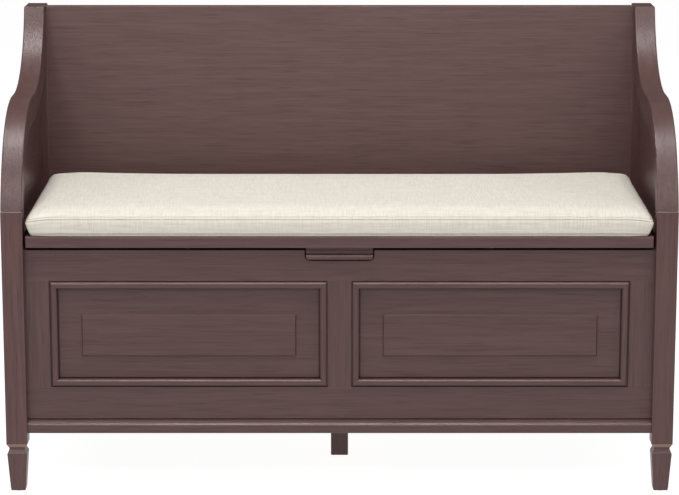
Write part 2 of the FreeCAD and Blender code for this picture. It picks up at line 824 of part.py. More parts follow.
leg_screw_bodies = [countersunk_screw(place, down, *leg_sizes) for place in leg_screw_places]
pull_screw_x = notch_width / 4
pull_screw_y = frame_front + pull_body_thickness / 2
pull_bottom = frame_top - notch_drop + pull_clearance
pull_screw_places = [Vector(x, pull_screw_y, pull_bottom) for x in (-pull_screw_x, pull_screw_x)]
pull_sizes = (cleat_screw_radius, pull_screw_length, cleat_screw_head_radius)
pull_screws = [screw_with_slot(place, up, *pull_sizes) for place in pull_screw_places]
pull_screw_bodies = [countersunk_screw(place, up, *pull_sizes) for place in pull_screw_places]


# ---------------------------------------------------------------- bolts with barrel nuts
def frame_bolt(y, z):
    """Bolt from the outer face of a right-hand post into the end of a rail or panel."""
    inward = Vector(-1, 0, 0)
    outside = Vector(half_width, y, z)
    head = Part.makeCone(bolt_head_radius, bolt_radius, bolt_head_height, outside, inward)
    shank = rod(outside + inward * bolt_head_height, inward, bolt_radius,
                bolt_length - bolt_head_height)
    return head.fuse(shank)


def hex_socket(y, z):
    """Six-sided key hole in a bolt head."""
    corners = []
    for index in range(6):
        angle = math.radians(60 * index)
        corners.append(Vector(half_width, y + bolt_socket_radius * math.cos(angle),
                              z + bolt_socket_radius * math.sin(angle)))
    return prism(corners, Vector(-bolt_socket_depth, 0, 0))


def barrel_nut(y, z):
    """Cross nut lying in the rail end, front to back, around the bolt's tip."""
    x = half_width - bolt_length + barrel_nut_inset
    return rod(Vector(x, y - barrel_nut_length / 2, z), Vector(0, 1, 0),
               barrel_nut_radius, barrel_nut_length)


frame_middle = (frame_front + frame_back) / 2
back_middle = (back_panel_front + back_panel_back) / 2
bolt_places = {
    "front_bottom_rail": (frame_middle, base_height + bottom_rail_height * bottom_bolt_share),
    "front_top_rail": (frame_middle, opening_top + top_rail_height / 2),
    "back_bottom_rail": (back_panel_front + back_rail_thickness / 2, base_height + back_rail_height / 2),
    "back_panel": (back_middle, height - back_bolt_drop),
}
right_bolts = [frame_bolt(y, z) for y, z in bolt_places.values()]
right_sockets = [hex_socket(y, z) for y, z in bolt_places.values()]
right_nuts = [barrel_nut(y, z) for y, z in bolt_places.values()]
bolt_bodies = right_bolts + [mirrored(bolt) for bolt in right_bolts]
nut_bodies = right_nuts + [mirrored(nut) for nut in right_nuts]
cut_bolts = [bolt.cut(socket) for bolt, socket in zip(right_bolts, right_sockets)]
frame_bolts = cut_bolts + [mirrored(bolt) for bolt in cut_bolts]
barrel_nuts = [nut.cut(bolt) for nut, bolt in zip(nut_bodies, bolt_bodies)]


# ---------------------------------------------------------------- dowels
def dowel(centre, direction):
    """Round wooden pin, half in each of the two pieces it joins."""
    return rod(centre - direction * (dowel_length / 2), direction, dowel_radius, dowel_length)


side_dowel_x = rail_outer - side_dowel_edge
along_y = Vector(0, 1, 0)
right_side_dowels = []
seat_rail_step = seat_side_rail_height / 4
bottom_rail_step = bottom_side_rail_height / 5
seat_rail_middle = seat_height - seat_side_rail_height / 2
bottom_rail_middle = base_height + bottom_side_rail_height / 2
for middle, step in ((seat_rail_middle, seat_rail_step), (bottom_rail_middle, bottom_rail_step)):
    for y in (front_post_back, rear_post_front):
        for z in (middle - step, middle + step):
            right_side_dowels.append(dowel(Vector(side_dowel_x, y, z), along_y))
arm_dowel_x = (inner_x + half_width) / 2
right_side_dowels.append(dowel(Vector(arm_dowel_x, front_y + front_post_depth / 2, front_post_height), up))
for drop in arm_dowel_drops:
    right_side_dowels.append(dowel(Vector(arm_dowel_x, rear_post_front, height - drop), along_y))
side_dowels = right_side_dowels + [mirrored(pin) for pin in right_side_dowels]
stile_places = [0.0, -(opening_outer + inner_x) / 2, (opening_outer + inner_x) / 2]
front_dowels = [dowel(Vector(x, frame_middle, z), up)
                for x in stile_places for z in (opening_bottom, opening_top)]
seat_dowel_x = inner_x + seat_dowel_bite - dowel_length / 2
seat_rail_dowels = [dowel(Vector(x, y, seat_height - rear_seat_rail_height / 2), Vector(1, 0, 0))
                    for x in (-seat_dowel_x, seat_dowel_x)
                    for y in (hinge_y + seat_dowel_front, back_panel_front - seat_dowel_rear)]

# ---------------------------------------------------------------- glides under the five feet
foot_centres = [Vector(sign * (inner_x + post_width / 2), y, 0)
                for sign in (-1, 1)
                for y in (front_y + front_post_depth / 2, back_y - rear_post_depth / 2)]
foot_centres.append(Vector(0, 0, 0))
foot_glides = []
for centre in foot_centres:
    disc = rod(centre, up, glide_radius, glide_thickness)
    disc = disc.makeFillet(glide_edge, [disc.Edges[0], disc.Edges[2]])
    nail = rod(centre + up * (glide_thickness / 2), up, glide_nail_radius,
               glide_nail_length - glide_thickness / 2)
    foot_glides.append(disc.fuse(nail).removeSplitter())

# ---------------------------------------------------------------- cushion, hook strips and loop strips
cushion_half = lid_half - cushion_side_gap
cushion_front = lid_front + cushion_front_inset
cushion_back = hinge_y - knuckle_radius - cushion_hinge_gap
cushion = block(-cushion_half, cushion_half, cushion_front, cushion_back,
                seat_height, seat_height + cushion_height)
cushion = eased(cushion, cushion_corner,
                lambda edge: not (edge.BoundBox.ZMax < seat_height + 0.001))
strip_middle = (cushion_front + cushion_back) / 2
strip_run = (cushion_back - cushion_front) / 2 - strip_inset
hook_strips = []
loop_strips = []
for x in spaced(cushion_half - strip_inset - strip_length / 2, 3):
    for y in (strip_middle - strip_run, strip_middle + strip_run):
        lower = block(x - strip_length / 2, x + strip_length / 2,
                      y - strip_width / 2, y + strip_width / 2,
                      seat_height, seat_height + strip_thickness)
        hook_strips.append(lower)
        loop_strips.append(lower.translated(Vector(0, 0, strip_thickness)))

# ---------------------------------------------------------------- let the pieces into each other
right_front_bolts = bolt_bodies[0:2]
right_rear_bolts = bolt_bodies[2:4]
front_post = cut_for(front_post, [upper_side_panel, lower_side_panel] + right_side_dowels
                     + right_front_bolts + foot_glides)
rear_post = cut_for(rear_post, [upper_side_panel, lower_side_panel, back_panel, lower_back_panel]
                    + right_side_dowels + right_rear_bolts + foot_glides)
arm = cut_for(arm, [upper_side_panel] + right_side_dowels)
seat_side_rail = cut_for(seat_side_rail, [upper_side_panel, lower_side_panel]
                         + right_side_dowels + seat_rail_dowels)
bottom_side_rail = cut_for(bottom_side_rail, [lower_side_panel] + right_side_dowels)
left_front_panel = mirrored(front_panel)
front_panels = [front_panel, left_front_panel]
front_top_rail = cut_for(front_top_rail, front_panels + bolt_bodies + nut_bodies + front_dowels)
front_bottom_rail = cut_for(front_bottom_rail, front_panels + bolt_bodies + nut_bodies
                            + front_dowels + cleat_screw_bodies)
end_stile = cut_for(end_stile, front_panels + front_dowels)
centre_stile = cut_for(centre_stile, front_panels + front_dowels)
back_panel = cut_for(back_panel, [lower_back_panel] + bolt_bodies + nut_bodies)
back_bottom_rail = cut_for(back_bottom_rail, [lower_back_panel] + bolt_bodies + nut_bodies
                           + cleat_screw_bodies)
front_cleat = cut_for(front_cleat, cleat_screw_bodies)
rear_cleat = cut_for(rear_cleat, cleat_screw_bodies)
storage_floor = cut_for(storage_floor, leg_screw_bodies)
centre_floor_rail = cut_for(centre_floor_rail, leg_screw_bodies)
centre_leg = cut_for(centre_leg, leg_screw_bodies + foot_glides)
rail_mortises = [leaf_mortise(x, 1) for x in hinge_places]
lid_mortises = [leaf_mortise(x, -1) for x in hinge_places]
rear_seat_rail = cut_for(rear_seat_rail, rail_mortises + rail_screw_bodies + seat_rail_dowels)
lid_board = cut_for(lid_board, lid_mortises + lid_screw_bodies + pull_screw_bodies)
finger_pull = cut_for(finger_pull, pull_screw_bodies)
lid_leaves = [cut_for(leaf, lid_screw_bodies) for leaf in lid_leaves]
rail_leaves = [cut_for(leaf, rail_screw_bodies) for leaf in rail_leaves]
cushion = cut_for(cushion, hook_strips + loop_strips)

# ---------------------------------------------------------------- nodes
pair("front_post", front_post)
pair("rear_post", rear_post)
pair("arm", arm)
pair("upper_side_panel", upper_side_panel)
pair("lower_side_panel", lower_side_panel)
pair("seat_side_rail", seat_side_rail)
pair("bottom_side_rail", bottom_side_rail)
pair("front_stile", end_stile)
pair("front_panel", front_panel)
for side_name, (first, last, inward_way) in bead_sides.items():
    pair("panel_" + side_name, bead_strip(bead_corners[first], bead_corners[last], inward_way))
parts["front_top_rail"] = front_top_rail
parts["front_bottom_rail"] = front_bottom_rail
parts["centre_stile"] = centre_stile
parts["base_moulding"] = base_moulding
parts["back_panel"] = back_panel
parts["lower_back_panel"] = lower_back_panel
parts["back_bottom_rail"] = back_bottom_rail
parts["rear_seat_rail"] = rear_seat_rail
parts["storage_floor"] = storage_floor
parts["front_floor_cleat"] = front_cleat
parts["rear_floor_cleat"] = rear_cleat
parts["centre_floor_rail"] = centre_floor_rail
parts["centre_leg"] = centre_leg
parts["foot_glides"] = group(foot_glides)
parts["lid_bumpers"] = group(lid_bumpers)
parts["hinge_rail_leaves"] = group(rail_leaves)
parts["hinge_pins"] = group(hinge_pins)
parts["hinge_rail_screws"] = group(rail_screws)
parts["frame_bolts"] = group(frame_bolts)
parts["barrel_nuts"] = group(barrel_nuts)
parts["side_frame_dowels"] = group(side_dowels)
parts["front_frame_dowels"] = group(front_dowels)
parts["seat_rail_dowels"] = group(seat_rail_dowels)
parts["cleat_screws"] = group(cleat_screws)
parts["leg_screws"] = group(leg_screws)
parts["lid_board"] = lid_board
parts["finger_pull"] = finger_pull
parts["finger_pull_screws"] = group(pull_screws)
parts["hinge_lid_leaves"] = group(lid_leaves)
parts["hinge_lid_screws"] = group(lid_screws)
parts["cushion_hook_strips"] = group(hook_strips)
parts["cushion_loop_strips"] = group(loop_strips)
parts["seat_cushion"] = cushion

os.makedirs("parts", exist_ok=True)
for name, shape in parts.items():
    shape.exportStep("parts/" + name + ".step")
print(len(parts), "nodes")
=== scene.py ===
"""Storage bench in espresso-stained wood, with a linen cushion on the lid of its box."""
import bpy
import math
import numpy as np
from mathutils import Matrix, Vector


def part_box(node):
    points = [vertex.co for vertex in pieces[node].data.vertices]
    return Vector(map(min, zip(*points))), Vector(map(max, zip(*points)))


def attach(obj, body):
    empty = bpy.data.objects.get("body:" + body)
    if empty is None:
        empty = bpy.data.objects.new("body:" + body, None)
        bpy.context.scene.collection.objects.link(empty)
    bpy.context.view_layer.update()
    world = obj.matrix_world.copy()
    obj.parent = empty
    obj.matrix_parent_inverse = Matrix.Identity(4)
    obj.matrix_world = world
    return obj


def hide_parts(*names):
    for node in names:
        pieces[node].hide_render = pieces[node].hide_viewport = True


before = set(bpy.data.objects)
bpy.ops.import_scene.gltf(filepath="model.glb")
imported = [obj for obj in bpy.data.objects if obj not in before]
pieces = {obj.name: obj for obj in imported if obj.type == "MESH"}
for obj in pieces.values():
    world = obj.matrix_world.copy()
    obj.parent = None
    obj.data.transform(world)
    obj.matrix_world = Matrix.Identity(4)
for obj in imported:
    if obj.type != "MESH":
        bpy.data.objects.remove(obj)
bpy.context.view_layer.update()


# ---------------------------------------------------------------- posts, feet and centre leg
# Four square posts run from the floor to the arms and back, each cut in to a neck, a
# collar and a taper at its foot. They are solid wood, grain upright, stained espresso and
# lacquered, with painted bounce light on the neck's upper slope; a short leg stands in the
# middle.
def add(tree, kind, **settings):
    """One shader node: settings name its properties, or its inputs by their spaced names."""
    made = tree.nodes.new(kind)
    for name, value in settings.items():
        if hasattr(made, name):
            setattr(made, name, value)
        else:
            made.inputs[name.replace("_", " ")].default_value = value
    return made


def streaks(tree, place, scale, detail, soft):
    """Grey noise over stretched coordinates: long thin marks that lie along the grain."""
    noise = add(tree, "ShaderNodeTexNoise", Scale=scale, Detail=detail, Roughness=soft)
    tree.links.new(place, noise.inputs["Vector"])
    return noise.outputs[0]


def blend_colour(tree, factor, low, high):
    """Mix of two colours by a factor; a colour may be a tuple or another node's output."""
    mix = tree.nodes.new("ShaderNodeMix")
    mix.data_type = "RGBA"
    tree.links.new(factor, mix.inputs[0])
    for socket, colour in ((mix.inputs[6], low), (mix.inputs[7], high)):
        if isinstance(colour, tuple):
            socket.default_value = (*colour, 1.0)
        else:
            tree.links.new(colour, socket)
    return mix.outputs[2]


def ranged(tree, value, low, high, out_low=0.0, out_high=1.0):
    """Value from low to high carried over to out_low to out_high and held at its ends."""
    step = tree.nodes.new("ShaderNodeMapRange")
    tree.links.new(value, step.inputs["Value"])
    step.inputs["From Min"].default_value = low
    step.inputs["From Max"].default_value = high
    step.inputs["To Min"].default_value = out_low
    step.inputs["To Max"].default_value = out_high
    return step.outputs["Result"]


def espresso(name, grain, turn=(0.0, 0.0, 0.0), shade=1.0, warm=1.0, shift=(0.0, 0.0, 0.0),
             relief_strength=0.30):
    """Stained wood: broad figure, fine pores and cloudy stain, all drawn out along the grain.

    grain is the axis the fibres follow once the coordinates are turned; shade and warm
    make the stain lighter and redder; shift moves the figure so that boards differ;
    relief_strength sets how far the open pores roughen the lacquer.
    """
    made = bpy.data.materials.new(name)
    made.use_nodes = True
    tree = made.node_tree
    surface = tree.nodes["Principled BSDF"]
    place = add(tree, "ShaderNodeTexCoord").outputs["Object"]
    turned = add(tree, "ShaderNodeMapping", Location=shift, Rotation=turn)
    tree.links.new(place, turned.inputs["Vector"])

    def along(stretch):
        """Coordinates pressed together along the grain, which draws the marks out."""
        squeeze = [1.0, 1.0, 1.0]
        squeeze[grain] = 1.0 / stretch
        pressed = add(tree, "ShaderNodeMapping", Scale=squeeze)
        tree.links.new(turned.outputs["Vector"], pressed.inputs["Vector"])
        return pressed.outputs["Vector"]

    figure = streaks(tree, along(34.0), 150.0, 3.0, 0.6)
    pores = streaks(tree, along(36.0), 560.0, 2.5, 0.6)
    fibres = streaks(tree, along(14.0), 2100.0, 2.0, 0.5)
    cloud = streaks(tree, along(2.2), 5.0, 2.0, 0.5)
    dark = (0.036 * shade * warm, 0.0155 * shade, 0.0150 * shade)
    mid = (0.062 * shade * warm, 0.0295 * shade, 0.0268 * shade)
    light = (0.078 * shade * warm, 0.0390 * shade, 0.0362 * shade)
    base = blend_colour(tree, ranged(tree, figure, 0.34, 0.66), mid, light)
    base = blend_colour(tree, ranged(tree, pores, 0.50, 0.68, 0.0, 0.60), base, dark)
    base = blend_colour(tree, ranged(tree, cloud, 0.35, 0.70, 0.0, 0.25), base, mid)
    tree.links.new(base, surface.inputs["Base Color"])
    tree.links.new(ranged(tree, pores, 0.35, 0.75, 0.34, 0.46), surface.inputs["Roughness"])
    relief = add(tree, "ShaderNodeBump", Strength=relief_strength, Distance=0.00035)
    mixed = blend_colour(tree, ranged(tree, fibres, 0.3, 0.7, 0.0, 0.4), (0.5, 0.5, 0.5),
                         (1.0, 1.0, 1.0))
    height = blend_colour(tree, ranged(tree, pores, 0.52, 0.66), mixed, (0.0, 0.0, 0.0))
    tree.links.new(height, relief.inputs["Height"])
    tree.links.new(relief.outputs["Normal"], surface.inputs["Normal"])
    surface.inputs["Specular IOR Level"].default_value = 0.33
    surface.inputs["Coat Weight"].default_value = 0.10
    surface.inputs["Coat Roughness"].default_value = 0.30
    return made


def finish_with(material, *names):
    """Give CAD pieces their finish."""
    for name in names:
        mesh = pieces[name].data
        mesh.materials.clear()
        mesh.materials.append(material)


def distance_from(tree, place, level):
    """How far a point's height lies from a level, above or below it."""
    parts = tree.nodes.new("ShaderNodeSeparateXYZ")
    tree.links.new(place, parts.inputs["Vector"])
    gap = add(tree, "ShaderNodeMath", operation="SUBTRACT")
    tree.links.new(parts.outputs["Z"], gap.inputs[0])
    gap.inputs[1].default_value = float(level)
    size = add(tree, "ShaderNodeMath", operation="ABSOLUTE")
    tree.links.new(gap.outputs[0], size.inputs[0])
    return size.outputs[0]


def painted_light_band(material, level, reach, fade, share, lit_colour):
    """Painted bounce light around one level: a pale band within reach that fades out."""
    tree = material.node_tree
    colour = tree.nodes["Principled BSDF"].inputs["Base Color"]
    place = add(tree, "ShaderNodeTexCoord").outputs["Object"]
    amount = ranged(tree, distance_from(tree, place, level), reach, reach + fade, share, 0.0)
    stained = colour.links[0].from_socket
    tree.links.new(blend_colour(tree, amount, stained, lit_colour), colour)


upright = espresso("espresso_upright", 2, warm=1.06)
# The pale band on the neck's upper slope is painted light, bounced up from the floor.
neck_level = 0.0798
painted_light_band(upright, neck_level, reach=0.0024, fade=0.0012, share=0.55, lit_colour=(0.30, 0.19, 0.14))
finish_with(upright, "left_front_post", "right_front_post", "left_rear_post", "right_rear_post",
            "centre_leg")

# ---------------------------------------------------------------- arms
# Each arm is one board sawn to a long S, doweled to the top of the front post and into
# the rear post. Its grain runs from the low front up to the back.
arm_slope = math.radians(38.0)
# The arms' stain is drawn lighter and greyer than the posts': painted sheen for the light the
# curved arms catch.
finish_with(espresso("espresso_arm", 1, turn=(-arm_slope, 0.0, 0.0), shade=1.10, warm=0.92,
                     relief_strength=0.75),
            "left_arm", "right_arm")

# ---------------------------------------------------------------- side frames
# Solid rails between the posts hold a plywood panel above the seat and another below it,
# both let into grooves. The grain runs from front to back.
front_to_back = espresso("espresso_front_to_back", 1)
finish_with(front_to_back, "left_seat_side_rail", "right_seat_side_rail",
            "left_bottom_side_rail", "right_bottom_side_rail", "left_upper_side_panel",
            "right_upper_side_panel", "left_lower_side_panel", "right_lower_side_panel")

# ---------------------------------------------------------------- front frame
# Two rails and three stiles are doweled into a frame around two raised panels. Mitred
# bolection beads cover the edges of the panels, and a coved moulding runs along the foot.
lengthwise = espresso("espresso_lengthwise", 0, shade=0.97)
finish_with(lengthwise, "front_top_rail", "front_bottom_rail", "base_moulding",
            "left_panel_top_bead", "right_panel_top_bead", "left_panel_bottom_bead",
            "right_panel_bottom_bead")
finish_with(espresso("espresso_panel", 0, shade=0.95, shift=(0.3, 0.0, 0.7)),
            "left_front_panel", "right_front_panel")
finish_with(espresso("espresso_stile", 2, shade=0.97, shift=(0.4, 0.1, 0.0)),
            "left_front_stile", "right_front_stile", "centre_stile",
            "left_panel_inner_bead", "right_panel_inner_bead", "left_panel_outer_bead",
            "right_panel_outer_bead")

# ---------------------------------------------------------------- back and rear seat rail
# The back is one veneered board between the rear posts, its grain lying lengthwise. A
# thinner panel closes the box behind, above a rail, and a deep rail carries the hinges.
# The back's stain is drawn lighter and less red than the frame's: painted light for the brighter
# light the back takes from above.
finish_with(espresso("espresso_back", 0, shade=1.32, warm=0.90, shift=(0.0, 0.0, 0.31)),
            "back_panel")
finish_with(lengthwise, "back_bottom_rail", "rear_seat_rail")
finish_with(espresso("espresso_board", 0, shade=0.90, shift=(0.2, 0.0, 0.5)),
            "lower_back_panel", "storage_floor")


# ---------------------------------------------------------------- cleats, floor rail and dowels
# The box's floor lies on light unfinished wood: two cleats screwed to the front and back,
# a rail from front to back over the centre leg, and beech dowels in the joints.
def light_wood(name, grain):
    """Unfinished wood: warm straw colour with soft bands along the grain and fine pores."""
    made = bpy.data.materials.new(name)
    made.use_nodes = True
    tree = made.node_tree
    surface = tree.nodes["Principled BSDF"]
    squeeze = [1.0, 1.0, 1.0]
    squeeze[grain] = 0.05
    pressed = add(tree, "ShaderNodeMapping", Scale=squeeze)
    tree.links.new(add(tree, "ShaderNodeTexCoord").outputs["Object"], pressed.inputs["Vector"])
    bands = streaks(tree, pressed.outputs["Vector"], 90.0, 3.0, 0.6)
    pores = streaks(tree, pressed.outputs["Vector"], 900.0, 2.0, 0.6)
    base = blend_colour(tree, ranged(tree, bands, 0.3, 0.7), (0.40, 0.25, 0.135),
                        (0.56, 0.39, 0.235))
    base = blend_colour(tree, ranged(tree, pores, 0.55, 0.75, 0.0, 0.5), base, (0.27, 0.16, 0.08))
    tree.links.new(base, surface.inputs["Base Color"])
    relief = add(tree, "ShaderNodeBump", Strength=0.3, Distance=0.0003)
    tree.links.new(pores, relief.inputs["Height"])
    tree.links.new(relief.outputs["Normal"], surface.inputs["Normal"])
    surface.inputs["Roughness"].default_value = 0.72
    return made


straw = light_wood("light_wood_lengthwise", 0)
finish_with(straw, "front_floor_cleat", "rear_floor_cleat", "seat_rail_dowels")
finish_with(light_wood("light_wood_crosswise", 1), "centre_floor_rail", "side_frame_dowels")
finish_with(light_wood("light_wood_upright", 2), "front_frame_dowels")

# ---------------------------------------------------------------- lid and finger pull
# The lid is a thick board whose front edges are eased. A moulded lip screwed under its
# front edge hangs in the notch of the top rail, so that fingers can lift it.
finish_with(espresso("espresso_lid", 0, shift=(0.5, 0.2, 0.0)), "lid_board")
finish_with(espresso("espresso_pull", 0, shade=0.92, shift=(0.1, 0.4, 0.2)), "finger_pull")


# ---------------------------------------------------------------- hinges, screws, bolts and nuts
# Three steel butt hinges are let into the lid and its rail with nine screws a side. Bolts
# through the posts draw the frame together on cross nuts. All of it is plated.
def plated(name, colour, rough):
    """Plated steel: drawn marks vary the gloss, and slight clouds tint the plate."""
    made = bpy.data.materials.new(name)
    made.use_nodes = True
    tree = made.node_tree
    surface = tree.nodes["Principled BSDF"]
    pressed = add(tree, "ShaderNodeMapping", Scale=(0.05, 1.0, 1.0))
    tree.links.new(add(tree, "ShaderNodeTexCoord").outputs["Object"], pressed.inputs["Vector"])
    drawn = streaks(tree, pressed.outputs["Vector"], 2600.0, 2.0, 0.6)
    clouds = streaks(tree, pressed.outputs["Vector"], 160.0, 2.0, 0.5)
    dull = tuple(0.8 * part for part in colour)
    tree.links.new(blend_colour(tree, ranged(tree, clouds, 0.3, 0.7), dull, colour),
                   surface.inputs["Base Color"])
    tree.links.new(ranged(tree, drawn, 0.3, 0.7, rough - 0.06, rough + 0.08),
                   surface.inputs["Roughness"])
    relief = add(tree, "ShaderNodeBump", Strength=0.15, Distance=0.0001)
    tree.links.new(drawn, relief.inputs["Height"])
    tree.links.new(relief.outputs["Normal"], surface.inputs["Normal"])
    surface.inputs["Metallic"].default_value = 1.0
    return made


finish_with(plated("nickel_plate", (0.47, 0.45, 0.42), 0.38),
            "hinge_lid_leaves", "hinge_rail_leaves", "hinge_pins")
finish_with(plated("zinc_plate", (0.62, 0.63, 0.64), 0.30),
            "hinge_lid_screws", "hinge_rail_screws", "cleat_screws", "leg_screws",
            "finger_pull_screws", "frame_bolts", "barrel_nuts")


# ---------------------------------------------------------------- glides and bumpers
# Dark nylon glides are nailed under the four feet and the centre leg, and two rubber
# bumpers on the top rail take the lid. Both are moulded with a fine matt skin.
def moulded(name, colour, rough):
    """Moulded skin: fine even pitting in gloss and relief, with a faint mottle of colour."""
    made = bpy.data.materials.new(name)
    made.use_nodes = True
    tree = made.node_tree
    surface = tree.nodes["Principled BSDF"]
    place = add(tree, "ShaderNodeTexCoord").outputs["Object"]
    pits = streaks(tree, place, 1800.0, 2.0, 0.5)
    mottle = streaks(tree, place, 180.0, 2.0, 0.5)
    tree.links.new(blend_colour(tree, ranged(tree, mottle, 0.3, 0.7),
                                tuple(0.8 * part for part in colour), colour),
                   surface.inputs["Base Color"])
    tree.links.new(ranged(tree, pits, 0.3, 0.7, rough - 0.08, rough + 0.08),
                   surface.inputs["Roughness"])
    relief = add(tree, "ShaderNodeBump", Strength=0.3, Distance=0.0001)
    tree.links.new(pits, relief.inputs["Height"])
    tree.links.new(relief.outputs["Normal"], surface.inputs["Normal"])
    return made


finish_with(moulded("nylon_glide", (0.050, 0.045, 0.040), 0.50), "foot_glides")
finish_with(moulded("rubber_bumper", (0.060, 0.055, 0.050), 0.75), "lid_bumpers")


# ---------------------------------------------------------------- seat cushion
# A foam slab in a linen slipcover: two flat panels and a band around the sides, closed by
# doubled seams near the top and by a plain seam at the bottom. The corners are pinched.
slab_low, slab_high = (np.array(corner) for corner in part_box("seat_cushion"))
middle = (slab_low + slab_high) / 2
half = (slab_high - slab_low) / 2
top_seam_rise = 0.0282
seam_height = slab_low[2] + top_seam_rise
doubled_seam = seam_height + 0.0034
bottom_seam = slab_low[2] + 0.0045


def linen(name):
    """Slub linen: uneven threads both ways over a fine plain weave, and its sewn seams.

    Threads along the bench vary across their width, and threads across the bench vary
    along it. At each seam, painted shade darkens a thin line where the sewn height is near
    the seam's own, and the same line dips the surface.
    """
    made = bpy.data.materials.new(name)
    made.use_nodes = True
    tree = made.node_tree
    surface = tree.nodes["Principled BSDF"]
    place = add(tree, "ShaderNodeAttribute", attribute_name="lay").outputs["Vector"]

    def threads(squeeze, scale):
        """Noise drawn out along the axes that are squeezed, as a thread is."""
        pressed = add(tree, "ShaderNodeMapping", Scale=squeeze)
        tree.links.new(place, pressed.inputs["Vector"])
        return streaks(tree, pressed.outputs["Vector"], scale, 2.0, 0.55)

    def times(colour, factor):
        """Colour multiplied by a grey value or another colour."""
        mix = tree.nodes.new("ShaderNodeMix")
        mix.data_type = "RGBA"
        mix.blend_type = "MULTIPLY"
        mix.inputs[0].default_value = 1.0
        tree.links.new(colour, mix.inputs[6])
        tree.links.new(factor, mix.inputs[7])
        return mix.outputs[2]

    weft = threads((0.045, 1.0, 1.0), 600.0)
    warp = threads((1.0, 0.06, 0.06), 600.0)
    fine_weft = threads((0.10, 1.0, 1.0), 1500.0)
    fine_warp = threads((1.0, 0.10, 0.10), 1500.0)
    patch = threads((1.0, 1.0, 1.0), 9.0)
    pale = (0.530, 0.500, 0.445)
    deep = (0.420, 0.388, 0.338)
    thread = blend_colour(tree, ranged(tree, weft, 0.36, 0.62), deep, pale)
    cross = blend_colour(tree, ranged(tree, warp, 0.36, 0.62), deep, pale)
    base = blend_colour(tree, ranged(tree, patch, 0.25, 0.75, 0.25, 0.75), thread, cross)
    fleck = blend_colour(tree, ranged(tree, fine_weft, 0.3, 0.7), (0.90, 0.89, 0.87),
                         (1.0, 1.0, 1.0))
    base = times(base, fleck)
    dip = None
    # Painted shade: each seam's thin dark line stands for the shade in its sewn crease.
    for level, width, shadow in ((seam_height, 0.0007, 0.52), (doubled_seam, 0.0006, 0.72),
                                 (bottom_seam, 0.0007, 0.50)):
        seam_shade = ranged(tree, distance_from(tree, place, level), width * 0.4, width * 1.8,
                      shadow, 1.0)
        base = times(base, seam_shade)
        if dip is None:
            dip = seam_shade
        else:
            both = add(tree, "ShaderNodeMath", operation="MULTIPLY")
            tree.links.new(dip, both.inputs[0])
            tree.links.new(seam_shade, both.inputs[1])
            dip = both.outputs[0]
    tree.links.new(base, surface.inputs["Base Color"])
    weave = blend_colour(tree, ranged(tree, fine_warp, 0.3, 0.7, 0.2, 0.8), weft, warp)
    relief = add(tree, "ShaderNodeBump", Strength=0.45, Distance=0.0005)
    tree.links.new(weave, relief.inputs["Height"])
    crease = add(tree, "ShaderNodeBump", Strength=0.8, Distance=0.0012)
    tree.links.new(dip, crease.inputs["Height"])
    tree.links.new(relief.outputs["Normal"], crease.inputs["Normal"])
    tree.links.new(crease.outputs["Normal"], surface.inputs["Normal"])
    surface.inputs["Roughness"].default_value = 0.88
    surface.inputs["Specular IOR Level"].default_value = 0.20
    surface.inputs["Sheen Weight"].default_value = 0.15
    surface.inputs["Sheen Roughness"].default_value = 0.45
    return made


def mesh_piece(name, points, faces, material):
    """New smooth-shaded object at the origin from an array of points and one of faces."""
    mesh = bpy.data.meshes.new(name)
    mesh.from_pydata(points.tolist(), [], faces.tolist())
    mesh.update()
    mesh.polygons.foreach_set("use_smooth", np.full(len(mesh.polygons), True))
    mesh.materials.append(material)
    made = bpy.data.objects.new(name, mesh)
    bpy.context.scene.collection.objects.link(made)
    return made


def points_of(mesh):
    """Vertex places of a mesh as an array with one row each."""
    places = np.empty(len(mesh.vertices) * 3)
    mesh.vertices.foreach_get("co", places)
    return places.reshape(-1, 3)


def lattice_shell(counts):
    """Closed shell of a box: six grids from -1 to 1, welded where their rims meet.

    Each grid holds one coordinate at -1 or 1 and steps evenly in the other two, which
    are taken in the order that makes its faces look outwards.
    """
    corners, faces, start = [], [], 0
    for axis in range(3):
        for side in (-1.0, 1.0):
            one, two = (axis + 1) % 3, (axis + 2) % 3
            if side < 0:
                one, two = two, one
            u, v = np.meshgrid(np.linspace(-1, 1, counts[one] + 1),
                               np.linspace(-1, 1, counts[two] + 1), indexing="ij")
            grid = np.empty(u.shape + (3,))
            grid[..., axis] = side
            grid[..., one] = u
            grid[..., two] = v
            index = start + np.arange(u.size).reshape(u.shape)
            faces.append(np.stack([index[:-1, :-1], index[1:, :-1], index[1:, 1:],
                                   index[:-1, 1:]], axis=-1).reshape(-1, 4))
            corners.append(grid.reshape(-1, 3))
            start += u.size
    corners = np.concatenate(corners)
    welded, new_index = np.unique(np.round(corners, 6), axis=0, return_inverse=True)
    return welded, new_index.ravel()[np.concatenate(faces)]


def sewn_blank(unit):
    """Cushion before it is filled, from the unit shell.

    The band is upright between its seams and swells by a parabola. The top panel rises
    from the seam by one minus an exponential of the distance to each edge, and carries a
    slight crown; it rises more at the back than at the front. The bottom panel is flat.
    """
    end_roll = 0.0045
    side_roll = 0.007
    top_loft = 0.0145
    back_loft = 0.0035
    crown_height = 0.0015
    band_swell = 0.0010
    x = half[0] * unit[:, 0]
    y = half[1] * unit[:, 1]
    up = (unit[:, 2] + 1) / 2
    from_x = half[0] - np.abs(x)
    from_y = half[1] - np.abs(y)
    z = up * (seam_height - slab_low[2])
    on_end = np.abs(unit[:, 0]) > 0.999
    on_side = np.abs(unit[:, 1]) > 0.999
    on_top = unit[:, 2] > 0.999
    rise = (1 - np.exp(-from_x / end_roll)) * (1 - np.exp(-from_y / side_roll))
    crown = (1 - unit[:, 0] ** 2) * (1 - unit[:, 1] ** 2)
    z = z + on_top * ((top_loft + back_loft * unit[:, 1]) * rise + crown_height * crown)
    swell = band_swell * (1 - unit[:, 2] ** 2)
    x = x + swell * np.sign(x) * on_end
    y = y + swell * np.sign(y) * on_side
    return np.stack([x, y, z + slab_low[2] - middle[2]], axis=1) + middle


